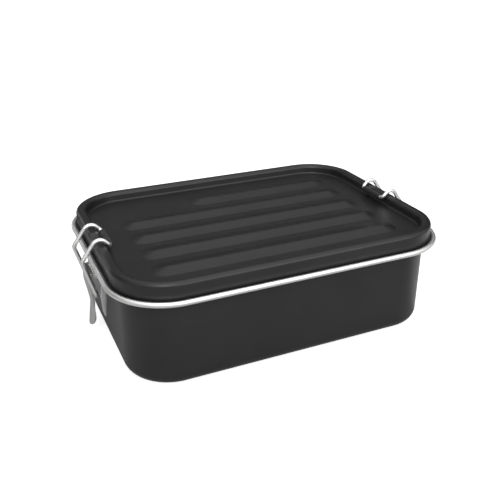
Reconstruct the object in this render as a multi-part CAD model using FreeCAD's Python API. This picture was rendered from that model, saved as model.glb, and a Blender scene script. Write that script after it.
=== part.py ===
import FreeCAD, Part
import math
import os

# Metal lunch box: drawn tray, lid with a seal, and an over-centre wire latch on each end.
# Millimetres. X runs along the long side, Y across, Z up. The origin is the centre of the base.

Vec = FreeCAD.Vector
X_AXIS = Vec(1, 0, 0)
Y_AXIS = Vec(0, 1, 0)
Z_AXIS = Vec(0, 0, 1)

# Tray and rim
rim_length = 226.0
rim_width = 167.6
rim_corner_radius = 38.5
rim_bead_radius = 1.7
rim_height = 59.7          # height of the bead's centre and of the flange's mid-plane
wall_inset = 8.3           # from the rim's outer edge in to the tray's wall
tray_sheet = 0.7
tray_base_radius = 7.0     # outside, where the wall turns into the base
flange_radius = 2.0        # outside, where the wall turns out into the flange
flange_grip = 0.8          # how far the flange reaches past the bead's centre

# Lid and seal
lid_inset = 4.2            # from the rim's outer edge in to the lid's skirt
lid_sheet = 0.7
lid_over_rim = 11.5        # height of the ridge's top above the bead's centre
lid_shoulder_radius = 2.6
lid_seat_gap = 0.35        # under the skirt
ridge_width = 6.6          # from the skirt's face in to the ridge's inner wall
ridge_draft = 0.6          # how far the inner wall leans in on its way down to the panel
ridge_crest_radius = 2.6   # where the ridge's top turns into the inner wall
panel_border_radius = 1.2
panel_depth = 6.5          # from the ridge's top down to the panel
floor_margin = 1.0         # flat stretch of a drawn section before the floor takes over
seal_width = 4.2
seal_clearance = 0.2       # from the seal to the flange and to the skirt

# Ribs pressed into the lid's panel
rib_count = 5
rib_pitch = 24.0
rib_width = 20.0           # from foot to foot
rib_slope = 18.0           # of the sides, in degrees
rib_crest_radius = 7.0
rib_foot_radius = 8.0      # where the panel turns up into a rib
rib_half_length = 85.0
short_rib_start = -28.0    # the rib at the back starts here and leaves a plain field at its left

# Latch, seen at the +X end. The pivots are given as distance from the wall, and height.
latch_sheet = 0.9
plate_sheet = 1.0
plate_half_width = 11.0
plate_foot_half_width = 4.5
plate_over_pin = 1.5       # height of the plate's top edge above the pin
plate_shoulder = 36.0      # height where the plate starts to narrow
plate_foot = 14.0
plate_corner_radius = 3.0
pin_radius = 1.25
pin_head_radius = 1.9
pin_head_length = 0.8
pin_from_wall = 4.8
pin_under_rim = 10.7       # below the bead's centre
ear_half_span = 8.1        # to the ears' outer faces
ear_radius = 2.4
ear_root_height = 12.0
turning_clearance = 0.05   # round pins and wire ends that turn
side_clearance = 0.3       # between faces that pass each other

# Lever: its web's outer face as distance from the wall and height, from top to tip
lever_over_pin = 2.6       # height of the lever's top edge above the pin
lever_face = 10.1
lever_bend_under_pin = 6.0
lever_waist = 8.1
lever_waist_height = 27.0
lever_tip_flare = 10.3
lever_tip_height = 9.6
lever_bend_radius = 14.0
lever_waist_half_width = 4.4
lever_spoon_half_width = 7.0
lever_spoon_height = 18.0
lever_foot_under_bail = 3.5    # the side flanges end this far below the bail's pivot
lever_boss_radius = 2.6
lever_corner_radius = 1.5
lever_side_radius = 6.0    # where the outline narrows to the waist and widens to the spoon
bail_pivot_from_wall = 6.3
bail_pivot_under_pin = 12.5

# Wire bail and its sleeve
wire_radius = 1.5
bail_half_span = 12.8      # to the arms' centres
knee_from_wall = 13.8
knee_over_rim = 1.3        # height of the arms' knee above the bead's centre
knee_radius = 4.0
arch_from_wall = 0.9
arch_over_lid = 5.4        # height of the arch's corner above the ridge
arch_radius = 4.0
crossbar_under_ridge = 1.6     # depth of the crossbar's centre below the ridge's top
bail_bend_radius = 2.4
wire_end_reach = 0.4       # past the lever's flange
sleeve_radius = 1.9
sleeve_end_gap = 0.2
sleeve_ridge_gap = 0.7     # from the sleeve to the line of the ridge's inner wall

# Sizes that follow from the ones above
half_length = rim_length / 2
half_width = rim_width / 2
wall_x = half_length - wall_inset
bead_inset = rim_bead_radius
flange_low = rim_height - tray_sheet / 2
flange_high = rim_height + tray_sheet / 2
lid_low = flange_high + lid_seat_gap
lid_top = rim_height + lid_over_rim
panel_top = lid_top - panel_depth
seal_low = flange_high + seal_clearance
seal_high = lid_top - lid_shoulder_radius
rib_rise = math.tan(math.radians(rib_slope))
rib_foot_corner = rib_width / 2 - rib_foot_radius * math.tan(math.radians(rib_slope / 2))
pin_height = rim_height - pin_under_rim
plate_top = pin_height + plate_over_pin
lever_half_width = ear_half_span + side_clearance + latch_sheet
lever_top = pin_height + lever_over_pin
lever_bend_height = pin_height - lever_bend_under_pin
bail_pivot_height = pin_height - bail_pivot_under_pin
lever_channel_foot = bail_pivot_height - lever_foot_under_bail
knee_height = rim_height + knee_over_rim
arch_height = lid_top + arch_over_lid
crossbar_height = lid_top - crossbar_under_ridge
ridge_from_wall = wall_inset - lid_inset - ridge_width
crossbar_from_wall = ridge_from_wall - sleeve_ridge_gap - sleeve_radius


def rounded_wire(points, radii, closed):
    """A wire through the points, with each corner turned into an arc of its own radius."""
    count = len(points)
    starts = list(points)
    ends = list(points)
    arcs = [None] * count
    for i in range(count):
        at_end = not closed and i in (0, count - 1)
        if at_end or radii[i] == 0:
            continue
        corner = points[i]
        back = (points[i - 1] - corner).normalize()
        ahead = (points[(i + 1) % count] - corner).normalize()
        half_angle = back.getAngle(ahead) / 2
        run = radii[i] / math.tan(half_angle)
        middle = (back + ahead).normalize()
        depth = radii[i] / math.sin(half_angle) - radii[i]
        starts[i] = corner + back * run
        ends[i] = corner + ahead * run
        arcs[i] = Part.Arc(starts[i], corner + middle * depth, ends[i]).toShape()
    edges = []
    for i in range(count if closed else count - 1):
        if arcs[i] is not None:
            edges.append(arcs[i])
        following = (i + 1) % count
        if (ends[i] - starts[following]).Length > 1e-6:
            edges.append(Part.makeLine(ends[i], starts[following]))
    return Part.Wire(edges)


def loop(inset, z):
    """A rounded rectangle at this distance inside the rim's edge, from the middle of the +X side."""
    x = half_length - inset
    y = half_width - inset
    corner = rim_corner_radius - inset
    points = [Vec(x, 0, z), Vec(x, y, z), Vec(-x, y, z), Vec(-x, -y, z), Vec(x, -y, z)]
    return rounded_wire(points, [0, corner, corner, corner, corner], True)


def slab(inset, low, high):
    """A plate with the rounded rectangle's outline between two heights."""
    return Part.Face(loop(inset, low)).extrude(Z_AXIS * (high - low))


def swept_round(section, z):
    """Sweep a closed section, drawn at the +X end, once round the box."""
    return loop(0, z).makePipeShell([section], True, False)


def at_end(inset, z):
    """A point of a section at the +X end, by its distance inside the rim's edge."""
    return Vec(half_length - inset, 0, z)


def drawn_shell(points, radii, sheet, floor_low):
    """A drawn pan or lid: a bent sheet section swept round the box, closed by a flat floor."""
    line = rounded_wire(points, radii, False)
    section = line.makeOffset2D(sheet, fill=True, openResult=True)
    shell = swept_round(section.OuterWire, points[0].z)
    floor_inset = half_length - points[-1].x
    floor = slab(floor_inset, floor_low, floor_low + abs(sheet))
    return shell.fuse(floor).removeSplitter()


def make_tray():
    """A pan with an even wall, a rounded base edge and a flange turned outwards."""
    floor_inset = wall_inset + tray_base_radius + floor_margin
    line = [at_end(bead_inset - flange_grip, flange_low), at_end(wall_inset, flange_low),
            at_end(wall_inset, 0), at_end(floor_inset, 0)]
    return drawn_shell(line, [0, flange_radius, tray_base_radius, 0], -tray_sheet, 0)


def make_rim_ring():
    """A bead swept round the rim and slotted for the flange's edge."""
    section = Part.Wire(Part.makeCircle(rim_bead_radius, at_end(bead_inset, rim_height), Y_AXIS))
    bead = swept_round(section, rim_height)
    return bead.cut(slab(bead_inset - flange_grip, flange_low, flange_high))


def rib_section(x, y):
    """Across a rib: the sheet rises from the panel to a round crest and falls again, all one thickness."""
    half = rib_width / 2
    foot = rib_foot_corner
    crest = foot * rib_rise
    upper = [(-half, 0), (-foot, 0), (0, crest), (foot, 0), (half, 0)]
    lower = [(across, height - lid_sheet) for across, height in reversed(upper)]
    radii = [0, rib_foot_radius, rib_crest_radius, rib_foot_radius, 0]
    points = [Vec(x, y + across, panel_top + height) for across, height in upper + lower]
    return Part.Face(rounded_wire(points, radii * 2, True))


def rib(y, first_x, last_x):
    """A rib's straight run and its two round ends, and the opening that they fill in the panel."""
    half = rib_width / 2
    start = Vec(first_x + half, y, panel_top)
    run = X_AXIS * (last_x - first_x - rib_width)
    section = rib_section(start.x, y)
    pieces = [section.extrude(run)]
    near = Part.makeBox(rib_width, half, rib_width, start - Vec(half, 0, half))
    half_section = section.common(near).Faces[0]
    pieces.append(half_section.revolve(start, Z_AXIS, 180))
    pieces.append(half_section.revolve(start, Z_AXIS, -180).translate(run))
    corners = [Vec(first_x, y - half, 0), Vec(last_x, y - half, 0),
               Vec(last_x, y + half, 0), Vec(first_x, y + half, 0)]
    opening = Part.Face(rounded_wire(corners, [half] * 4, True)).extrude(Z_AXIS * lid_top)
    return pieces, opening


def make_lid():
    """A drawn lid: skirt, rounded ridge, sunk panel and hollow ribs, all in one sheet."""
    crest = lid_inset + ridge_width
    foot = crest + ridge_draft
    line = [at_end(lid_inset, lid_low), at_end(lid_inset, lid_top), at_end(crest, lid_top),
            at_end(foot, panel_top), at_end(foot + panel_border_radius + floor_margin, panel_top)]
    radii = [0, lid_shoulder_radius, ridge_crest_radius, panel_border_radius, 0]
    pressed = drawn_shell(line, radii, lid_sheet, panel_top - lid_sheet)
    pieces = []
    openings = []
    for i in range(rib_count):
        y = (i - (rib_count - 1) / 2) * rib_pitch
        first_x = short_rib_start if i == rib_count - 1 else -rib_half_length
        found, opening = rib(y, first_x, rib_half_length)
        pieces += found
        openings.append(opening)
    return pressed.cut(openings).fuse(pieces).removeSplitter()


def make_lid_seal():
    """A soft ring that fills the hollow of the ridge, just above the flange."""
    outer = lid_inset + lid_sheet + seal_clearance
    return slab(outer, seal_low, seal_high).cut(slab(outer + seal_width, seal_low, seal_high))


def latch_point(from_wall, y, z):
    """A point of the +X latch, by its distance out from the tray's wall."""
    return Vec(wall_x + from_wall, y, z)


def side_face(points, radii, y):
    """A flat outline in the plane across Y, given as distance from the wall and height."""
    return Part.Face(rounded_wire([latch_point(d, y, z) for d, z in points], radii, True))


def end_face(points, radii, from_wall):
    """A flat outline in the plane of the end wall, given as Y and height."""
    return Part.Face(rounded_wire([latch_point(from_wall, y, z) for y, z in points], radii, True))


def both_sides(right):
    """Mirror points of an outline's +Y half, so that the outline runs on round the -Y half."""
    return right + [(-y, z) for y, z in reversed(right)]


def cross_rod(radius, half_span, from_wall, z):
    """A round rod along Y, centred on the box."""
    start = latch_point(from_wall, -half_span, z)
    return Part.makeCylinder(radius, 2 * half_span, start, Y_AXIS)


def make_base_plate():
    """A shield-shaped plate on the end wall, with two ears that carry the lever's pin."""
    half = both_sides([(plate_half_width, plate_top), (plate_half_width, plate_shoulder),
                       (plate_foot_half_width, plate_foot)])
    plate = end_face(half, [plate_corner_radius] * 6, 0).extrude(X_AXIS * plate_sheet)
    reach = pin_from_wall + ear_radius
    top = pin_height + ear_radius
    outline = [(0, plate_top - plate_corner_radius), (plate_sheet, top), (reach, top),
               (reach, pin_height - ear_radius), (0, plate_top - ear_root_height)]
    radii = [0, 0, ear_radius, ear_radius, 0]
    ears = []
    for y in (-ear_half_span, ear_half_span - latch_sheet):
        ears.append(side_face(outline, radii, y).extrude(Y_AXIS * latch_sheet))
    hole = cross_rod(pin_radius + turning_clearance, lever_half_width, pin_from_wall, pin_height)
    return plate.fuse(ears).cut(hole).removeSplitter()


def make_lever_pin():
    """A pin with a head on each end, outside the lever's flanges."""
    neck = lever_half_width + turning_clearance
    rod = cross_rod(pin_radius, neck + pin_head_length, pin_from_wall, pin_height)
    heads = []
    for y in (-neck - pin_head_length, neck):
        start = latch_point(pin_from_wall, y, pin_height)
        heads.append(Part.makeCylinder(pin_head_radius, pin_head_length, start, Y_AXIS))
    return rod.fuse(heads).removeSplitter()


def make_lever():
    """A channel-shaped lever: bent web, two side flanges with pivot holes, and a spoon tip."""
    line = [latch_point(lever_face, 0, lever_top), latch_point(lever_face, 0, lever_bend_height),
            latch_point(lever_waist, 0, lever_waist_height),
            latch_point(lever_tip_flare, 0, lever_tip_height)]
    bends = [0, lever_bend_radius, lever_bend_radius, 0]
    web = rounded_wire(line, bends, False).makeOffset2D(-latch_sheet, fill=True, openResult=True)
    web = web.extrude(Y_AXIS * 2 * lever_half_width)
    web.translate(Y_AXIS * -lever_half_width)
    half = [(lever_half_width, lever_top), (lever_half_width, lever_channel_foot),
            (lever_waist_half_width, lever_waist_height),
            (lever_spoon_half_width, lever_spoon_height), (lever_spoon_half_width, lever_tip_height)]
    radii = [lever_corner_radius, lever_side_radius, lever_side_radius, lever_side_radius,
             lever_spoon_half_width]
    outline = end_face(both_sides(half), radii + radii[::-1], 0)
    web = web.common(outline.extrude(X_AXIS * 2 * lever_face))
    boss = pin_from_wall - lever_boss_radius
    web_lean = (lever_face - lever_waist) / (lever_bend_height - lever_waist_height)
    foot_face = lever_waist + web_lean * (lever_channel_foot - lever_waist_height)
    flange = [(lever_face - latch_sheet / 2, lever_top - lever_corner_radius),
              (boss, pin_height + lever_boss_radius), (boss, pin_height - lever_boss_radius),
              (bail_pivot_from_wall - lever_boss_radius, bail_pivot_height - lever_boss_radius),
              (foot_face - latch_sheet / 2, lever_channel_foot)]
    rounds = [0, lever_boss_radius, lever_boss_radius, lever_boss_radius, 0]
    sides = []
    for y in (-lever_half_width, lever_half_width - latch_sheet):
        sides.append(side_face(flange, rounds, y).extrude(Y_AXIS * latch_sheet))
    pin_hole = cross_rod(pin_radius + turning_clearance, lever_half_width, pin_from_wall, pin_height)
    wire_hole = cross_rod(wire_radius + turning_clearance, lever_half_width,
                          bail_pivot_from_wall, bail_pivot_height)
    return web.fuse(sides).cut(pin_hole).cut(wire_hole).removeSplitter()


def make_bail():
    """One bent wire: two ends in the lever's flanges, two arms over the lid, and a crossbar."""
    end_y = lever_half_width - latch_sheet - wire_end_reach
    half = [latch_point(bail_pivot_from_wall, end_y, bail_pivot_height),
            latch_point(bail_pivot_from_wall, bail_half_span, bail_pivot_height),
            latch_point(knee_from_wall, bail_half_span, knee_height),
            latch_point(arch_from_wall, bail_half_span, arch_height),
            latch_point(crossbar_from_wall, bail_half_span, crossbar_height)]
    points = half + [Vec(p.x, -p.y, p.z) for p in reversed(half)]
    bends = [0, bail_bend_radius, knee_radius, arch_radius, bail_bend_radius]
    path = rounded_wire(points, bends + bends[::-1], False)
    section = Part.Wire(Part.makeCircle(wire_radius, half[0], Y_AXIS))
    return path.makePipeShell([section], True, False)


def make_sleeve():
    """A soft tube on the bail's crossbar, between its two bends."""
    half_span = bail_half_span - bail_bend_radius - sleeve_end_gap
    tube = cross_rod(sleeve_radius, half_span, crossbar_from_wall, crossbar_height)
    bore = cross_rod(wire_radius + turning_clearance, half_span, crossbar_from_wall, crossbar_height)
    return tube.cut(bore)


parts = {"tray": make_tray(), "rim_ring": make_rim_ring(), "lid": make_lid(),
         "lid_seal": make_lid_seal()}
latch = {"base_plate": make_base_plate(), "lever_pin": make_lever_pin(), "lever": make_lever(),
         "bail": make_bail(), "bail_sleeve": make_sleeve()}
for name, shape in latch.items():
    parts["right_" + name] = shape
    turned = shape.copy()
    turned.rotate(Vec(0, 0, 0), Z_AXIS, 180)
    parts["left_" + name] = turned

os.makedirs("parts", exist_ok=True)
for name, shape in parts.items():
    shape.exportStep("parts/" + name + ".step")
    print(name, shape.isValid(), len(shape.Solids), round(shape.Volume, 1))
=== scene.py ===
# %% [markdown]
# # A metal lunch box with two wire latches
#
# The box is a deep-drawn steel tray and lid with a satin black powder coat, a bright steel
# bead round the tray's edge, and an over-centre wire latch on each short end. The measured
# model is loaded first as a fixed frame. Every piece below is then built around it as a
# finer mesh, at the same size and in the same place, so that curves stay smooth up close.

# %% Load the measured model
import bpy
import bmesh
import math
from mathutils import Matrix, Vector


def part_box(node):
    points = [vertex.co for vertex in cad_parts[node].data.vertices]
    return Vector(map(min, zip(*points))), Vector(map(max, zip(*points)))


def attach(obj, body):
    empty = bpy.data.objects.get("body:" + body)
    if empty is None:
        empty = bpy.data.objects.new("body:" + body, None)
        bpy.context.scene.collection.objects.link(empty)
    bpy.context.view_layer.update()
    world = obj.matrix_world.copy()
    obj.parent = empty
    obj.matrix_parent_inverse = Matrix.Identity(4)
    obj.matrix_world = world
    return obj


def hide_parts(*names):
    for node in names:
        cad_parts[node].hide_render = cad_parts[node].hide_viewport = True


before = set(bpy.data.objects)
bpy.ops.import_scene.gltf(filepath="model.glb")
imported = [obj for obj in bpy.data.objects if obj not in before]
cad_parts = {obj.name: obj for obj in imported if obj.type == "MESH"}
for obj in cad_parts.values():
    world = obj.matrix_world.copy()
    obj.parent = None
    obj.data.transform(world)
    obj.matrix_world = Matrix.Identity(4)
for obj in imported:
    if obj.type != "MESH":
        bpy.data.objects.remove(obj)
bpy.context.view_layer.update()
MM = 0.001

# %% [markdown]
# ## Sizes
#
# Blender counts in metres, so a millimetre is named once. Most sizes are read from the
# frame's own boxes, so that nothing is measured twice. The few that a box can't give, such
# as sheet thickness and bend radii, are named where they are first needed.

# %% Sizes from the frame
rim_low, rim_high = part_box("rim_ring")
half_length = rim_high.x
half_width = rim_high.y
bead_radius = (rim_high.z - rim_low.z) / 2
rim_height = (rim_high.z + rim_low.z) / 2
rim_corner = 38.5 * MM
wall_inset = 8.3 * MM  # from the rim's outer edge in to the wall
wall_x = half_length - wall_inset
print("rim", [round(v / MM, 1) for v in (2 * half_length, 2 * half_width, rim_height)], "mm")

# %% [markdown]
# ## Two shader helpers
#
# Colours are written as sRGB hex codes, as on a paint chart, but shaders count light in
# linear values, so one function turns the first into the second. Another adds a shader node
# with its settings and links. Nodes could be added step by step each time, but then the
# recipe of a finish would be lost among the lines that wire it up.


# %% Colours and nodes
def colour(code):
    """Linear RGBA from an sRGB hex code."""
    linear = []
    for i in (1, 3, 5):
        value = int(code[i:i + 2], 16) / 255
        linear.append(value / 12.92 if value <= 0.04045 else ((value + 0.055) / 1.055) ** 2.4)
    return (*linear, 1.0)


def add(tree, kind, links=None, **settings):
    """Add a node. Settings are its properties or its inputs' values, and links feed its inputs."""
    node = tree.nodes.new(kind)
    for name, value in settings.items():
        if hasattr(node, name):
            setattr(node, name, value)
        else:
            node.inputs[name.replace("_", " ")].default_value = value
    for name, source in (links or {}).items():
        tree.links.new(source, node.inputs[name])
    return node


print("middle grey #808080 is", round(colour("#808080")[0], 3), "in linear light")

# %% [markdown]
# ## Black powder coat on drawn steel
#
# The tray and lid are drawn from steel sheet and sprayed with black powder that is melted
# on. It looks satin, not glossy: the skin flows into a very fine orange peel, so highlights
# are broad and soft. One flat black of one roughness would look like plastic. So a noise of
# the peel's size varies roughness and height, and a much wider one varies the black a little.

# %% Powder coat
peel_size = 1.4 * MM  # under a millimetre on the real box, and drawn coarser so that it shows
peel_depth = 0.05 * MM
patch_size = 35 * MM  # the powder lies a little thicker in some places than in others


def powder_coat():
    """Satin black: dark all over, with a broad gloss that the peel breaks up."""
    material = bpy.data.materials.new("satin black powder coat on drawn steel")
    material.use_nodes = True
    tree = material.node_tree
    skin = tree.nodes["Principled BSDF"]
    skin.inputs["IOR"].default_value = 1.5
    skin.inputs["Specular IOR Level"].default_value = 0.40
    place = add(tree, "ShaderNodeTexCoord").outputs["Object"]
    patches = add(tree, "ShaderNodeTexNoise", {"Vector": place}, Scale=1 / patch_size, Detail=2.0)
    shades = add(tree, "ShaderNodeValToRGB", {"Fac": patches.outputs["Fac"]})
    shades.color_ramp.elements[0].position = 0.35
    shades.color_ramp.elements[0].color = colour("#1d1d1e")
    shades.color_ramp.elements[1].position = 0.65
    shades.color_ramp.elements[1].color = colour("#212122")
    peel = add(tree, "ShaderNodeTexNoise", {"Vector": place}, Scale=1 / peel_size, Detail=1.0)
    rough = add(tree, "ShaderNodeMapRange", {"Value": peel.outputs["Fac"]}, To_Min=0.30, To_Max=0.38)
    bump = add(tree, "ShaderNodeBump", {"Height": peel.outputs["Fac"]}, Strength=0.10,
               Distance=peel_depth)
    tree.links.new(shades.outputs["Color"], skin.inputs["Base Color"])
    tree.links.new(rough.outputs["Result"], skin.inputs["Roughness"])
    tree.links.new(bump.outputs["Normal"], skin.inputs["Normal"])
    return material


black_coat = powder_coat()
print("made", black_coat.name)

# %% [markdown]
# ## Bright stainless steel
#
# The rim bead, the latches and the wire are bare stainless steel. A metal has no colour of
# its own below the surface, only its reflection, so the base colour is a pale grey and the
# finish is all in the roughness. The tool marks of rolling, pressing and drawing are about a
# tenth of a millimetre apart. They are drawn at 0.4 to 0.6 mm so that they still show.

# %% Stainless steel in four finishes
smudge_size = 12 * MM  # the soft patches that handling leaves
mark_depth = 0.02 * MM


def stainless(name, dull, bright, roughness, mark_spacing, mark_strength):
    """Bare steel with fine tool marks, and smudges between a dull and a bright grey."""
    material = bpy.data.materials.new(name)
    material.use_nodes = True
    tree = material.node_tree
    skin = tree.nodes["Principled BSDF"]
    skin.inputs["Metallic"].default_value = 1.0
    place = add(tree, "ShaderNodeTexCoord").outputs["Object"]
    marks = add(tree, "ShaderNodeTexNoise", {"Vector": place}, Scale=1 / mark_spacing, Detail=3.0)
    smudge = add(tree, "ShaderNodeTexNoise", {"Vector": place}, Scale=1 / smudge_size, Detail=1.0)
    tint = add(tree, "ShaderNodeValToRGB", {"Fac": smudge.outputs["Fac"]})
    tint.color_ramp.elements[0].color = colour(dull)
    tint.color_ramp.elements[1].color = colour(bright)
    rough = add(tree, "ShaderNodeMapRange", {"Value": marks.outputs["Fac"]},
                To_Min=roughness * 0.8, To_Max=roughness * 1.25)
    bump = add(tree, "ShaderNodeBump", {"Height": marks.outputs["Fac"]}, Strength=mark_strength,
               Distance=mark_depth)
    tree.links.new(tint.outputs["Color"], skin.inputs["Base Color"])
    tree.links.new(rough.outputs["Result"], skin.inputs["Roughness"])
    tree.links.new(bump.outputs["Normal"], skin.inputs["Normal"])
    return material


# Rolling leaves the bead smooth, so one bright line of light runs along it.
rolled_steel = stainless("bright stainless steel, rolled bead", "#e6e6e5", "#f5f5f4",
                         roughness=0.40, mark_spacing=0.6 * MM, mark_strength=0.05)
# Pressing scuffs the sheet, so the plates are a little duller.
pressed_steel = stainless("stainless steel sheet, pressed", "#eaeae9", "#f6f6f5",
                          roughness=0.42, mark_spacing=0.4 * MM, mark_strength=0.10)
# A drawing die burnishes the wire, so each bend has a clear highlight.
drawn_wire = stainless("bright stainless wire, drawn", "#eaeae9", "#f6f6f5",
                       roughness=0.40, mark_spacing=0.5 * MM, mark_strength=0.05)
# Tumbling takes the burrs off the lever; its greyer base colour is painted shade for the dark floor it
# mirrors.
shaded_lever_steel = stainless("stainless steel sheet, tumbled, painted darker as shade", "#c6c6c5", "#d6d6d5",
                        roughness=0.36, mark_spacing=0.4 * MM, mark_strength=0.10)
for steel in (rolled_steel, pressed_steel, drawn_wire, shaded_lever_steel):
    print("made", steel.name)

# %% [markdown]
# ## Silicone
#
# The sleeve on each crossbar is an extruded silicone tube, matt black with a soft sheen. The
# lid's seal is moulded silicone in its natural milky colour. Silicone has an IOR of about
# 1.41 and a faint, dusty grain, which is drawn coarser than it is so that it shows.

# %% Silicone, black and milky
grain_size = 0.5 * MM
grain_depth = 0.04 * MM
grain_spread = 0.06  # how far the grain moves the roughness either way


def silicone(name, dark, light, roughness):
    """Soft rubber: no clear highlight, and a little sheen along its edges."""
    material = bpy.data.materials.new(name)
    material.use_nodes = True
    tree = material.node_tree
    skin = tree.nodes["Principled BSDF"]
    skin.inputs["IOR"].default_value = 1.41
    skin.inputs["Sheen Weight"].default_value = 0.08
    place = add(tree, "ShaderNodeTexCoord").outputs["Object"]
    grain = add(tree, "ShaderNodeTexNoise", {"Vector": place}, Scale=1 / grain_size, Detail=2.0)
    shades = add(tree, "ShaderNodeValToRGB", {"Fac": grain.outputs["Fac"]})
    shades.color_ramp.elements[0].color = colour(dark)
    shades.color_ramp.elements[1].color = colour(light)
    rough = add(tree, "ShaderNodeMapRange", {"Value": grain.outputs["Fac"]},
                To_Min=roughness - grain_spread, To_Max=roughness + grain_spread)
    bump = add(tree, "ShaderNodeBump", {"Height": grain.outputs["Fac"]}, Strength=0.12,
               Distance=grain_depth)
    tree.links.new(shades.outputs["Color"], skin.inputs["Base Color"])
    tree.links.new(rough.outputs["Result"], skin.inputs["Roughness"])
    tree.links.new(bump.outputs["Normal"], skin.inputs["Normal"])
    return material


black_silicone = silicone("matt black silicone, extruded tube", "#19191a", "#232324", 0.55)
milky_silicone = silicone("milky silicone, moulded seal", "#b9b8b3", "#cbcac5", 0.45)
print("made", black_silicone.name, "/", milky_silicone.name)

# %% [markdown]
# ## Meshes and bent lines
#
# Most pieces of the box are sheet or wire that was bent. So most of them start as a line
# whose corners are rounded, each with the radius of its own bending tool. A Bevel modifier
# could round a finished mesh, but it gives all edges one width. The points then become an
# object, and its large faces are made to shade flat, as sheet does between two bends.

# %% Helpers for meshes and bent lines
same_point = 1e-7  # points nearer than this are joined into one


def mesh_object(name, points, faces, material, smooth=True):
    """An object from a list of points and faces, with the normals turned outwards."""
    mesh = bpy.data.meshes.new(name)
    mesh.from_pydata(points, [], faces)
    work = bmesh.new()
    work.from_mesh(mesh)
    bmesh.ops.remove_doubles(work, verts=work.verts, dist=same_point)
    bmesh.ops.recalc_face_normals(work, faces=work.faces)
    work.to_mesh(mesh)
    work.free()
    mesh.polygons.foreach_set("use_smooth", [smooth] * len(mesh.polygons))
    made = bpy.data.objects.new(name, mesh)
    bpy.context.scene.collection.objects.link(made)
    made.data.materials.append(material)
    return made


def rounded(points, radii, steps):
    """The line through the points, with an arc of its own radius at each inner corner."""
    line = [Vector(points[0])]
    for before, corner, after, radius in zip(points, points[1:], points[2:], radii):
        corner = Vector(corner)
        back = (Vector(before) - corner).normalized()
        ahead = (Vector(after) - corner).normalized()
        half = back.angle(ahead) / 2
        middle = (back + ahead).normalized()
        centre = corner + middle * (radius / math.sin(half))
        start = corner + back * (radius / math.tan(half)) - centre
        for i in range(steps + 1):
            angle = (math.pi - 2 * half) * i / steps
            line.append(centre + start * math.cos(angle) - back * radius * math.sin(angle))
    line.append(Vector(points[-1]))
    return line


def keep_flats_flat(piece):
    """Weight the normals by face size, so that large flat faces shade flat up to their edges."""
    weighted = piece.modifiers.new("flats", "WEIGHTED_NORMAL")
    weighted.weight = 100
    return piece


sample = rounded([(0, 0, 0), (1, 0, 0), (1, 1, 0)], [0.2], 8)
print("a bend in 8 steps is a line of", len(sample), "points")

# %% [markdown]
# ## The tray
#
# A press draws the tray from one sheet, so its section is the same all the way round: flange,
# wall, base. The section is a bent line, and the outline of the rim carries it round. A corner
# of the outline turns about one centre for every inset, so the line's points simply move in
# and out along the outline's normal.


# %% Outline and sweep
def outline(corner_steps=28, side_steps=12):
    """Points on the rim's outer edge with their outward normals, once round the box."""
    found = []
    reach_x = half_length - rim_corner
    reach_y = half_width - rim_corner
    centres = [(reach_x, reach_y), (-reach_x, reach_y), (-reach_x, -reach_y), (reach_x, -reach_y)]
    for quarter, (cx, cy) in enumerate(centres):
        for i in range(corner_steps + 1):
            angle = math.pi / 2 * (quarter + i / corner_steps)
            normal = Vector((math.cos(angle), math.sin(angle), 0))
            found.append((Vector((cx, cy, 0)) + normal * rim_corner, normal))
        nx, ny = centres[(quarter + 1) % 4]
        last, normal = found[-1]
        for i in range(1, side_steps):
            found.append((last + Vector((nx - cx, ny - cy, 0)) * (i / side_steps), normal))
    return found


def swept(name, section, material, closed=True, capped=False):
    """Carry a section of (inset, height) pairs round the outline, and cap its two ends if asked."""
    edge = outline()
    count = len(edge)
    points = []
    for inset, height in section:
        points += [point - normal * inset + Vector((0, 0, height)) for point, normal in edge]
    faces = []
    rows = len(section)
    for row in range(rows if closed else rows - 1):
        low, high = row * count, (row + 1) % rows * count
        for i in range(count):
            j = (i + 1) % count
            faces.append((low + i, low + j, high + j, high + i))
    if capped:
        faces.append(list(range(count)))
        faces.append(list(range((rows - 1) * count, rows * count)))
    return mesh_object(name, points, faces, material)


print("the outline has", len(outline()), "points")

# %% Tray shell
sheet = 0.7 * MM
base_radius = 7.0 * MM
flange_radius = 2.0 * MM
bend_steps = 12
tray_low, tray_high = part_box("tray")
flange_under = tray_high.z - sheet
flange_edge = bead_radius - 0.8 * MM  # inside the bead
base_reach = wall_inset + base_radius + 1.0 * MM  # just past the bend, where the caps take over


def tray_line(offset):
    """The tray's bent section, moved in from the outer face by an offset."""
    floor_height = tray_low.z + offset
    corners = [(flange_edge, flange_under + offset, 0), (wall_inset + offset, flange_under + offset, 0),
               (wall_inset + offset, floor_height, 0), (base_reach, floor_height, 0)]
    bent = rounded(corners, [flange_radius + offset, base_radius - offset], bend_steps)
    return [(p.x, p.y) for p in bent]


outer = tray_line(0)
inner = tray_line(sheet)
tray = swept("tray_shell", outer[::-1] + inner, black_coat, closed=False, capped=True)
keep_flats_flat(tray)
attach(tray, "tray")
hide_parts("tray")
print("tray shell:", len(tray.data.polygons), "faces")

# %% [markdown]
# ## The rim bead
#
# The tray's raw edge is closed by a rolled bead of bare steel. A curve with a round bevel
# would do, but the sweep is already at hand. So the bead is a round section on the same
# outline, with enough sides to reflect as a smooth line.

# %% Rim bead
bead_sides = 28
bead_section = []
for i in range(bead_sides):
    angle = 2 * math.pi * i / bead_sides
    bead_section.append((bead_radius + bead_radius * math.cos(angle),
                         rim_height + bead_radius * math.sin(angle)))
bead = swept("rim_bead", bead_section, rolled_steel)
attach(bead, "tray")
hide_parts("rim_ring")
print("rim bead:", len(bead.data.polygons), "faces")

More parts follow.
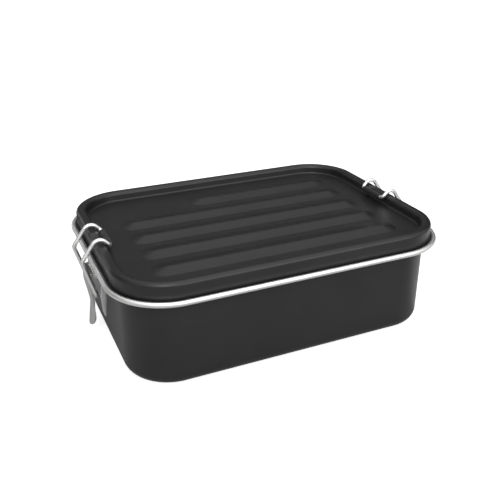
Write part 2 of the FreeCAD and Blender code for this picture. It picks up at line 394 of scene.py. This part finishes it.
# %% [markdown]
# ## The lid
#
# The lid is one drawn sheet too: a skirt, a rounded ridge that stiffens the edge, a sunk
# panel and five low ribs. The ribs could be separate strips, but pressed ribs run smoothly
# into the panel. So the panel is a grid whose heights follow the ribs. Its border points
# carry the ridge and the skirt outwards, so the whole skin is one mesh, and a Solidify
# modifier gives it the thickness of the sheet.

# %% Lid sizes
lid_low, lid_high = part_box("lid")
lid_inset = half_length - lid_high.x
lid_sheet = 0.7 * MM
shoulder_radius = 2.6 * MM
ridge_width = 6.6 * MM
ridge_draft = 0.6 * MM
crest_radius = 2.6 * MM
border_radius = 1.2 * MM
border_width = 1.0 * MM  # flat panel between the grid and the ridge's bend
panel_depth = 6.5 * MM
panel_top = lid_high.z - panel_depth
panel_inset = lid_inset + ridge_width + ridge_draft + border_radius + border_width
panel_half_x = half_length - panel_inset
panel_half_y = half_width - panel_inset
panel_corner = rim_corner - panel_inset
print("panel", [round(2 * v / MM, 1) for v in (panel_half_x, panel_half_y)], "mm")

# %% Ribs
rib_rows = 5
rib_pitch = 24.0 * MM
rib_half = 9.6 * MM
rib_shift = -0.4 * MM
rib_slope = math.radians(13)
rib_crest_radius = 3.5 * MM
rib_foot_radius = 4.5 * MM
rib_reach = 85.0 * MM
short_rib_start = -28.0 * MM


def rib_profile(distance):
    """Height of a rib at a distance from its spine: round crest, even slope, round foot."""
    foot_corner = rib_half - rib_foot_radius * math.tan(rib_slope / 2)
    crest_end = rib_crest_radius * math.sin(rib_slope)
    foot_start = rib_half - rib_foot_radius * math.sin(rib_slope)
    if distance < crest_end:
        peak = foot_corner * math.tan(rib_slope) + rib_crest_radius * (1 - 1 / math.cos(rib_slope))
        return peak - rib_crest_radius + math.sqrt(rib_crest_radius ** 2 - distance ** 2)
    if distance < foot_start:
        return (foot_corner - distance) * math.tan(rib_slope)
    if distance < rib_half:
        return rib_foot_radius - math.sqrt(rib_foot_radius ** 2 - (rib_half - distance) ** 2)
    return 0.0


def rib_rise(x, y):
    """Height of the pressed ribs above the panel at a point."""
    rise = 0.0
    for i in range(rib_rows):
        centre = (i - (rib_rows - 1) / 2) * rib_pitch + rib_shift
        first = short_rib_start if i == rib_rows - 1 else -rib_reach
        along = min(max(x, first + rib_half), rib_reach - rib_half)
        rise += rib_profile(math.hypot(x - along, y - centre))
    return rise


print("the ribs are", round(rib_profile(0) / MM, 2), "mm high")

# %% Places of the panel's columns and rows
past_end = 2 * MM  # the close columns start this far outside a rib's end
past_round = 5 * MM  # and run on this far past its round, because rows are shorter at the corners
end_steps, short_end_steps = 28, 23  # close columns, about 0.6 mm apart
edge_steps, left_steps, right_steps = 8, 10, 21  # wide columns between them
plain_turn = math.radians(60)  # the part of a corner's turn that lies outside the ribs
plain_turn_steps, rib_turn_steps, straight_steps = 12, 22, 150


def stepped(start, *runs):
    """Places from a start through runs of even steps, each run given as its end and its count."""
    places = [start]
    for end, count in runs:
        first = places[-1]
        places += [first + (end - first) * i / count for i in range(1, count + 1)]
    return places


def panel_columns():
    """Places along the panel, close at the ribs' ends and wide apart where the ribs run straight."""
    end_out, end_in = rib_reach + past_end, rib_reach - rib_half - past_round
    short_out, short_in = short_rib_start - past_end, short_rib_start + rib_half + past_end
    return stepped(-panel_half_x, (-end_out, edge_steps), (-end_in, end_steps),
                   (short_out, left_steps), (short_in, short_end_steps),
                   (end_in, right_steps), (end_out, end_steps), (panel_half_x, edge_steps))


def panel_rows():
    """Places across the panel, close over the ribs and by even angles round each corner."""
    turn = stepped(0.0, (plain_turn, plain_turn_steps), (math.radians(90), rib_turn_steps))[:-1]
    rows = [-panel_half_y + panel_corner * (1 - math.cos(angle)) for angle in turn]
    rows += stepped(panel_corner - panel_half_y, (panel_half_y - panel_corner, straight_steps))
    return rows + [-y for y in reversed(rows[:len(turn)])]


print("panel grid:", len(panel_columns()), "by", len(panel_rows()), "points")


# %% Lid skin
def panel_grid():
    """Points and faces of the ribbed panel, and its border points in order."""
    columns, heights = panel_columns(), panel_rows()
    points = []
    for y in heights:
        bend = max(abs(y) - (panel_half_y - panel_corner), 0.0)
        curve = math.sqrt(max(panel_corner * panel_corner - bend * bend, 0.0))
        reach = panel_half_x - panel_corner + curve
        for place in columns:
            x = place * reach / panel_half_x
            points.append(Vector((x, y, panel_top + rib_rise(x, y))))
    width, rows = len(columns), len(heights)
    faces = []
    for r in range(rows - 1):
        for c in range(width - 1):
            a = r * width + c
            faces.append((a, a + 1, a + width + 1, a + width))
    border = list(range(width)) + [r * width + width - 1 for r in range(1, rows)]
    border += [(rows - 1) * width + c for c in range(width - 2, -1, -1)]
    border += [r * width for r in range(rows - 2, 0, -1)]
    return points, faces, border


def ridge_section(steps=7):
    """The bent line from the panel's border up over the ridge and down the skirt."""
    crest = lid_inset + ridge_width
    foot = crest + ridge_draft
    corners = [(panel_inset, panel_top, 0), (foot, panel_top, 0), (crest, lid_high.z, 0),
               (lid_inset, lid_high.z, 0), (lid_inset, lid_low.z, 0)]
    return rounded(corners, [border_radius, crest_radius, shoulder_radius], steps)[1:]


def lid_skin():
    """One open skin: the ribbed panel, then ridge and skirt carried out from its border."""
    points, faces, border = panel_grid()
    inner_x, inner_y = panel_half_x - panel_corner, panel_half_y - panel_corner
    count = len(border)
    ring = border
    for step in ridge_section():
        first = len(points)
        for index in border:
            p = points[index]
            cx = min(max(p.x, -inner_x), inner_x)
            cy = min(max(p.y, -inner_y), inner_y)
            normal = Vector((p.x - cx, p.y - cy, 0)).normalized()
            carried = Vector((p.x, p.y, 0)) + normal * (panel_inset - step.x)
            points.append(carried + Vector((0, 0, step.y)))
        fresh = [first + i for i in range(count)]
        for i in range(count):
            j = (i + 1) % count
            faces.append((ring[i], ring[j], fresh[j], fresh[i]))
        ring = fresh
    return points, faces


lid_points, lid_faces = lid_skin()
lid = mesh_object("lid_shell", lid_points, lid_faces, black_coat)
thick = lid.modifiers.new("sheet", "SOLIDIFY")
thick.thickness = lid_sheet
thick.offset = -1
thick.use_even_offset = True
keep_flats_flat(lid)
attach(lid, "lid")
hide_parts("lid")
print("lid skin:", len(lid.data.polygons), "faces")

# %% [markdown]
# ## The lid's seal
#
# The seal sits in the hollow of the ridge and can't be seen while the lid is on. It could be
# swept again, but the measured ring is right as it is, so it only takes its finish.

# %% Seal finish
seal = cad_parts["lid_seal"]
seal.data.materials.clear()
seal.data.materials.append(milky_silicone)
print("seal finish:", milky_silicone.name)

# %% [markdown]
# ## The wire bails
#
# Each bail is one length of wire, bent eight times: out of the lever, up the arm, over the
# lid's ridge and across. It could be a curve with a round bevel, but a tube of rings along a
# line with rounded corners is plain mesh at once. Both latches are alike, turned half round,
# so a sign places them. The crossbar's black sleeve is a short tube, turned about its axis.

# %% Bail sizes
SIDES = {"right": 1, "left": -1}
sleeve_low, sleeve_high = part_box("right_bail_sleeve")
wire_radius = 1.38 * MM
bail_half_span = 12.8 * MM
bail_end = Vector((wall_x + 6.3 * MM, 8.0 * MM, 36.5 * MM))
knee = Vector((wall_x + 13.4 * MM, bail_half_span, 61.5 * MM))
arch = Vector((wall_x + 2.0 * MM, bail_half_span, 77.0 * MM))
crossbar = Vector(((sleeve_low.x + sleeve_high.x) / 2, bail_half_span,
                   (sleeve_low.z + sleeve_high.z) / 2))
bend_radius = 2.4 * MM
knee_radius = 4.0 * MM
arch_radius = 5.0 * MM
print("bail wire", round(2 * wire_radius / MM, 2), "mm thick")


# %% The wire's line and its tube
def turned(point, side):
    """A point of the right latch, or the same point half a turn round for the left one."""
    return Vector((side * point.x, side * point.y, point.z))


def bail_line(side, steps=10):
    """The middle of the wire from one end in the lever to the other, with all its bends."""
    corner = Vector((bail_end.x, bail_half_span, bail_end.z))
    half = [bail_end, corner, knee, arch, crossbar]
    whole = half + [Vector((p.x, -p.y, p.z)) for p in reversed(half)]
    radii = [bend_radius, knee_radius, arch_radius, bend_radius]
    return rounded([turned(p, side) for p in whole], radii + radii[::-1], steps)


def tube_along(name, line, radius, material, sides=20):
    """A capped round tube along a line of points."""
    points = []
    count = len(line)
    across = None
    for i, p in enumerate(line):
        ahead = (line[min(i + 1, count - 1)] - line[max(i - 1, 0)]).normalized()
        if across is None:
            across = ahead.orthogonal().normalized()
        across = (across - ahead * across.dot(ahead)).normalized()
        up = ahead.cross(across)
        for k in range(sides):
            angle = 2 * math.pi * k / sides
            points.append(p + (across * math.cos(angle) + up * math.sin(angle)) * radius)
    faces = []
    for i in range(count - 1):
        for k in range(sides):
            n = (k + 1) % sides
            faces.append((i * sides + k, i * sides + n, (i + 1) * sides + n, (i + 1) * sides + k))
    faces.append(list(range(sides)))
    faces.append(list(range((count - 1) * sides, count * sides)))
    return mesh_object(name, points, faces, material)


wire_line = bail_line(SIDES["right"])
wire_length = sum((b - a).length for a, b in zip(wire_line, wire_line[1:]))
print("one bail takes", round(wire_length / MM), "mm of wire")

# %% The crossbar's sleeve
sleeve_edge = 0.3 * MM
sleeve_play = 0.02 * MM


def sleeve_profile(steps=6):
    """Half section of the tube, as radius and distance along, with softened ends."""
    length = sleeve_high.y
    outer_radius = (sleeve_high.z - sleeve_low.z) / 2
    bore = wire_radius + sleeve_play
    corners = [(bore, 0, -length), (outer_radius, 0, -length), (outer_radius, 0, length), (bore, 0, length)]
    return rounded(corners, [sleeve_edge, sleeve_edge], steps)


def revolved(name, profile, centre, material, sides=32):
    """Turn a closed profile of (radius, 0, distance) once about the Y axis through a centre."""
    points = []
    for k in range(sides):
        angle = 2 * math.pi * k / sides
        for p in profile:
            points.append(centre + Vector((p.x * math.cos(angle), p.z, p.x * math.sin(angle))))
    rows = len(profile)
    faces = []
    for k in range(sides):
        n = (k + 1) % sides
        for r in range(rows):
            s = (r + 1) % rows
            faces.append((k * rows + r, k * rows + s, n * rows + s, n * rows + r))
    return keep_flats_flat(mesh_object(name, points, faces, material))


print("sleeve", round(2 * sleeve_high.y / MM, 1), "mm long")

# %% Both bails
for where, side in SIDES.items():
    wire = keep_flats_flat(tube_along(where + "_bail_wire", bail_line(side), wire_radius, drawn_wire))
    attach(wire, where + "_bail")
    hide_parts(where + "_bail")
    middle = turned(Vector((crossbar.x, 0, crossbar.z)), side)
    sleeve = revolved(where + "_crossbar_sleeve", sleeve_profile(), middle, black_silicone)
    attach(sleeve, where + "_bail")
    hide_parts(where + "_bail_sleeve")
    print(where, "bail:", len(wire.data.polygons), "faces")

# %% [markdown]
# ## Latch plates, levers and pins
#
# These are pressed from sheet, so their cut edges are slightly broken and catch the light.
# They could be drawn afresh, but only those edges are missing from the measured shapes. So
# these are copied into new meshes, and a fine Bevel rounds the edges. The real lever isn't
# flat across: the press bows it outwards, most of all at the finger tip. So its copy is
# sliced into narrow strips, and each point moves out by a smooth amount.

# %% Softened copies of the pressed pieces
near_enough = 1e-6  # in metres, for points that a copy or a cut should treat as one


def break_edges(piece, width):
    """A Bevel that rounds only the sharp edges of a piece."""
    bevel = piece.modifiers.new("broken edges", "BEVEL")
    bevel.width = width
    bevel.segments = 2
    bevel.limit_method = "ANGLE"
    bevel.angle_limit = math.radians(35)


def softened(name, node, width, material):
    """A copy of a measured node with its edges broken by a small round, as plain mesh."""
    work = bmesh.new()
    work.from_mesh(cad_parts[node].data)
    bmesh.ops.remove_doubles(work, verts=work.verts, dist=near_enough)
    bmesh.ops.dissolve_limit(work, angle_limit=math.radians(1.0), verts=work.verts, edges=work.edges)
    mesh = bpy.data.meshes.new(name)
    work.to_mesh(mesh)
    work.free()
    made = bpy.data.objects.new(name, mesh)
    bpy.context.scene.collection.objects.link(made)
    break_edges(made, width)
    bpy.context.view_layer.update()
    seen = made.evaluated_get(bpy.context.evaluated_depsgraph_get())
    made.data = bpy.data.meshes.new_from_object(seen)
    made.modifiers.clear()
    made.data.name = name
    made.data.materials.clear()
    made.data.materials.append(material)
    made.data.polygons.foreach_set("use_smooth", [True] * len(made.data.polygons))
    return keep_flats_flat(made)


print("pieces to soften:", ", ".join(n for n in sorted(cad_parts) if "lever" in n or "plate" in n))

# %% Bowing the lever
web_half = 8.4 * MM
spoon_half = 7.0 * MM
spoon_sag = 1.7 * MM
channel_foot = 33.0 * MM
spoon_top = 27.0 * MM
tip_low = 9.6 * MM
tip_raise = 1.2 * MM
strip_cuts = range(-8, 9)  # across the lever, in millimetres
height_cuts = range(11, 52, 2)  # up the lever, in millimetres
# How far the lever's middle stands out at a height. The last height is above the whole box.
crown = [(0.0, 0.8 * MM), (20 * MM, 0.6 * MM), (33 * MM, 0.6 * MM), (43 * MM, 1.1 * MM),
         (1.0, 1.1 * MM)]


def along_crown(height):
    """How far the middle of the lever stands out from the flat web at a height."""
    for (low, first), (high, last) in zip(crown, crown[1:]):
        if height <= high:
            return first + (last - first) * (height - low) / (high - low)


def bowed(piece, side):
    """Slice a lever into strips and push its middle out and its spoon's edges in."""
    work = bmesh.new()
    work.from_mesh(piece.data)
    bmesh.ops.triangulate(work, faces=work.faces)
    cuts = [((0, y * MM, 0), (0, 1, 0)) for y in strip_cuts]
    cuts += [((0, 0, z * MM), (0, 0, 1)) for z in height_cuts]
    for place, facing in cuts:
        everything = work.verts[:] + work.edges[:] + work.faces[:]
        bmesh.ops.bisect_plane(work, geom=everything, plane_co=place, plane_no=facing,
                               dist=near_enough)
    for vert in work.verts:
        y, z = vert.co.y, vert.co.z
        middle = along_crown(z)
        channel = middle * max(1 - (y / web_half) ** 2, 0.0)
        spoon = middle - spoon_sag * (y / spoon_half) ** 2
        share = min(max((channel_foot - z) / (channel_foot - spoon_top), 0.0), 1.0)
        share = share * share * (3 - 2 * share)
        vert.co.x += side * (channel + (spoon - channel) * share)
        vert.co.z += tip_raise * min(max((spoon_top - z) / (spoon_top - tip_low), 0.0), 1.0)
    work.to_mesh(piece.data)
    work.free()


print("the spoon's edges lie", round(spoon_sag / MM, 1), "mm behind its middle")

# %% Both latches
plate_waist = 25.0 * MM
plate_raise = 1.3 * MM
plate_break = 0.15 * MM
lever_break = 0.2 * MM


def shortened(piece):
    """Lift the foot of a base plate, which on the real box ends a little higher."""
    for vert in piece.data.vertices:
        if vert.co.z < plate_waist:
            vert.co.z += plate_raise


for where, side in SIDES.items():
    plate = softened(where + "_base_plate_pressed", where + "_base_plate", plate_break, pressed_steel)
    shortened(plate)
    pin = softened(where + "_lever_pin_pressed", where + "_lever_pin", lever_break, pressed_steel)
    # The lever takes the steel whose darker grey is painted shade.
    lever = softened(where + "_lever_pressed", where + "_lever", lever_break, shaded_lever_steel)
    bowed(lever, side)
    for piece, node, body in ((plate, "_base_plate", "tray"), (pin, "_lever_pin", "tray"),
                              (lever, "_lever", where + "_lever")):
        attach(piece, body)
        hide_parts(where + node)
    print(where, "lever:", len(lever.data.polygons), "faces")

# %% [markdown]
# ## Rolled hinge knuckles
#
# Seen from above, the hinge is a row of bright blocks with dark gaps: tongues of the base
# plate that are rolled over the pin. Plain short tubes would hang in the air. So each tongue
# is a bent strip: its section is a line that leaves the plate, runs over the pin and curls
# round it, and the strip's thickness and width follow.

# %% A rolled tongue
pin_low, pin_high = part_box("right_lever_pin")
pin_x = (pin_low.x + pin_high.x) / 2
pin_z = (pin_low.z + pin_high.z) / 2
knuckle_radius = 2.2 * MM
tongue_sheet = 0.85 * MM
knuckle_half = 1.35 * MM
knuckle_pitch = 4.6 * MM
tongue_root = (wall_x + 0.3 * MM, wall_x + 2.0 * MM)  # in the plate, and clear of it
curl = math.radians(285)
curl_steps = 24


def tongue_section():
    """Outer and inner line of a rolled tongue, as pairs in the plane across the pin."""
    lines = []
    for radius in (knuckle_radius, knuckle_radius - tongue_sheet):
        line = [(x, pin_z + radius) for x in tongue_root]
        for i in range(curl_steps + 1):
            angle = math.pi / 2 - curl * i / curl_steps
            line.append((pin_x + radius * math.cos(angle), pin_z + radius * math.sin(angle)))
        lines.append(line)
    return lines


def rolled_tongues(name, side):
    """Three tongues in one mesh, each a strip of the section between two flat sides."""
    outer_line, inner_line = tongue_section()
    points, faces = [], []
    rows = len(outer_line)
    for k in (-1, 0, 1):
        first = len(points)
        for edge in (-knuckle_half, knuckle_half):
            for x, z in outer_line + inner_line:
                points.append(turned(Vector((x, k * knuckle_pitch + edge, z)), side))
        a, b, c, d = first, first + rows, first + 2 * rows, first + 3 * rows
        for i in range(rows - 1):
            for low, high in ((a, c), (d, b), (b, a), (c, d)):
                faces.append((low + i, low + i + 1, high + i + 1, high + i))
        faces.append((a, b, d, c))
        last = rows - 1
        faces.append((a + last, c + last, d + last, b + last))
    return mesh_object(name, points, faces, pressed_steel)


print("a knuckle is", round(2 * knuckle_half / MM, 1), "mm wide")

# %% Knuckles on both pins
for where, side in SIDES.items():
    knuckles = rolled_tongues(where + "_hinge_knuckles", side)
    break_edges(knuckles, plate_break)
    keep_flats_flat(knuckles)
    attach(knuckles, "tray")
    print(where, "knuckles:", len(knuckles.data.polygons), "faces")

# %% [markdown]
# ## Floor and surround
#
# A product studio has a pale floor that keeps a faint shadow, and a white surround that
# bright metal reflects. More light would make both white, but would grey the black coat too.
# So they are plain white only where they are seen or mirrored, and dimmer as a light.

# %% Floor and surround
floor_half = 6.0
floor_glow = 0.65
surround_light = 0.45


def seen_or_mirrored(tree):
    """1 for a ray from the camera, a reflection or a clear body, and 0 for a ray of light."""
    path = add(tree, "ShaderNodeLightPath").outputs
    both = add(tree, "ShaderNodeMath", {0: path["Is Camera Ray"], 1: path["Is Glossy Ray"]},
               operation="MAXIMUM")
    every = add(tree, "ShaderNodeMath", {0: both.outputs["Value"], 1: path["Is Transmission Ray"]},
                operation="MAXIMUM")
    return every.outputs["Value"]


def studio_floor():
    """Matt white paint on board: no gloss, so the box has no mirror image in it."""
    material = bpy.data.materials.new("white studio floor")
    material.use_nodes = True
    tree = material.node_tree
    skin = tree.nodes["Principled BSDF"]
    skin.inputs["Base Color"].default_value = colour("#fbfbfb")
    skin.inputs["Roughness"].default_value = 0.9
    skin.inputs["Specular IOR Level"].default_value = 0.0
    glow = add(tree, "ShaderNodeMath", {0: seen_or_mirrored(tree)}, operation="MULTIPLY")
    glow.inputs[1].default_value = floor_glow
    skin.inputs["Emission Color"].default_value = colour("#ffffff")
    tree.links.new(glow.outputs["Value"], skin.inputs["Emission Strength"])
    return material


floor = mesh_object("studio_floor", [(-floor_half, -floor_half, 0), (floor_half, -floor_half, 0),
                                     (floor_half, floor_half, 0), (-floor_half, floor_half, 0)],
                    [(0, 1, 2, 3)], studio_floor(), smooth=False)

world = bpy.data.worlds.new("white studio")
bpy.context.scene.world = world
world.use_nodes = True
tree = world.node_tree
tree.nodes.clear()
light = add(tree, "ShaderNodeBackground", Color=colour("#ffffff"), Strength=surround_light)
seen = add(tree, "ShaderNodeBackground", Color=colour("#ffffff"), Strength=1.0)
mixed = add(tree, "ShaderNodeMixShader", {0: seen_or_mirrored(tree), 1: light.outputs["Background"],
                                          2: seen.outputs["Background"]})
add(tree, "ShaderNodeOutputWorld", {"Surface": mixed.outputs["Shader"]})
print("floor and surround ready")

# %% [markdown]
# ## Lamps
#
# A small bulb would draw hard shadows and sharp glints, so the lamps are large soft boxes.
# The one overhead and the one at the left front light the lid and walls evenly. The low one
# at the right front draws the thin bright lines along the lid's front shoulder and back ridge.

# %% Lamps
lamp_aim = Vector((0, 0, 0.04))  # the middle of the box


def soft_lamp(name, place, size, power):
    """A square soft box of a size in metres and a power in watts, turned to the box."""
    data = bpy.data.lights.new(name, "AREA")
    data.size = size
    data.energy = power
    lamp = bpy.data.objects.new(name, data)
    lamp.location = place
    lamp.rotation_mode = "QUATERNION"
    lamp.rotation_quaternion = (lamp_aim - Vector(place)).to_track_quat("-Z", "Y")
    bpy.context.scene.collection.objects.link(lamp)


soft_lamp("overhead softbox", place=(0.1, -0.25, 1.4), size=1.2, power=4.5)
soft_lamp("left front softbox", place=(-0.5, -1.1, 1.1), size=0.8, power=9)
soft_lamp("right front softbox", place=(0.55, -1.25, 0.52), size=0.9, power=6)
print("three soft lamps")

# %% [markdown]
# ## Studio cards
#
# A photographer stands and lays grey cards round a dark, satin object, because a pure white
# studio would mirror in every wall and wash the black out. These are seen only in
# reflections: a ring of standing cards, low dark ones at the back, a white one at the back
# left that brightens the latch, and an apron of card laid on the floor. The apron is pale in
# front, paler at the left end, white at the right end and dark behind. The dark strip behind
# is what draws the far side of each rib.


# %% Card stock
def matt_card(name, code):
    """Dyed card: one even, matt colour with no gloss."""
    material = bpy.data.materials.new(name)
    material.use_nodes = True
    skin = material.node_tree.nodes["Principled BSDF"]
    skin.inputs["Base Color"].default_value = colour(code)
    skin.inputs["Roughness"].default_value = 1.0
    skin.inputs["Specular IOR Level"].default_value = 0.0
    return material


middle_grey = matt_card("middle grey studio card", "#787878")
dark_grey = matt_card("dark grey studio card", "#363636")
front_grey = matt_card("pale grey studio card", "#c0c0c0")
end_grey = matt_card("paler grey studio card", "#c8c8c8")
white_card = matt_card("white studio card", "#f4f4f4")
print("five cards, from", dark_grey.name, "to", white_card.name)


# %% Standing cards
def only_mirrored(card):
    """Hide a card from the camera and from the light, and keep it in reflections."""
    card.visible_camera = False
    card.visible_diffuse = False
    card.visible_shadow = False


def standing_card(name, angle, distance, width, height, material):
    """A card that stands on the floor and faces the object."""
    out = Vector((math.cos(angle), math.sin(angle), 0)) * distance
    along = Vector((-math.sin(angle), math.cos(angle), 0)) * width / 2
    up = Vector((0, 0, height))
    corners = [out - along, out + along, out + along + up, out - along + up]
    only_mirrored(mesh_object(name, corners, [(0, 1, 2, 3)], material, smooth=False))


low_card = 0.2
card_heights = (0.72, 0.78, 0.85, 0.85, low_card, low_card, low_card, low_card)
dark_card_angles = (35, 60, 85)
for i, height in enumerate(card_heights):
    angle = 2 * math.pi * (i + 0.5) / len(card_heights)
    # The first card stands behind the right end, where the lid is darkest.
    standing_card("grey_card_" + str(i), angle, distance=0.8, width=0.66, height=height,
                  material=dark_grey if i == 0 else middle_grey)
for i, angle in enumerate(dark_card_angles):
    standing_card("dark_card_" + str(i), math.radians(angle), distance=0.7, width=0.32,
                  height=low_card, material=dark_grey)
standing_card("white_card", math.radians(120), distance=0.75, width=0.3, height=0.35,
              material=white_card)
print(len(card_heights) + len(dark_card_angles) + 1, "cards stand round the box")

# %% Apron on the floor
apron_start = 11 * MM  # in from the rim's edge, so that it starts under the tray's rounded base
apron_reach = 0.6
apron_height = 0.5 * MM
apron_front, apron_back = -0.2, 0.2
apron_left, apron_right = -0.25, 0.25
apron = swept("grey_apron", [(apron_start, apron_height), (-apron_reach, apron_height)], end_grey,
              closed=False)
for card in (front_grey, dark_grey, white_card):
    apron.data.materials.append(card)
for polygon in apron.data.polygons:
    if polygon.center.y < apron_front:
        polygon.material_index = 1
    elif polygon.center.y > apron_back and polygon.center.x > apron_left:
        polygon.material_index = 2
    elif polygon.center.x > apron_right:
        polygon.material_index = 3
only_mirrored(apron)
print("the apron reaches", apron_reach, "m from the box")

# %% [markdown]
# ## Camera
#
# The photograph was taken a little above the box, from its front left. The camera could be
# set by eye, but a wrong lens bends every outline. So its place and lens come from matching
# the rim, lid and base outlines to a box of this size.

# %% Camera
camera_place = Vector((-172.79, -384.34, 241.32)) * MM
camera_target = Vector((0, -0.36, 41.75)) * MM
camera_data = bpy.data.cameras.new("camera")
camera_data.sensor_width = 36.0
camera_data.lens = 47.67
camera_data.clip_start = 0.01
camera = bpy.data.objects.new("camera", camera_data)
camera.location = camera_place
camera.rotation_mode = "QUATERNION"
camera.rotation_quaternion = (camera_target - camera_place).to_track_quat("-Z", "Y")
bpy.context.scene.collection.objects.link(camera)
bpy.context.scene.camera = camera
bpy.context.scene.view_settings.view_transform = "Standard"
print("the camera stands", round((camera_target - camera_place).length, 3), "m away")
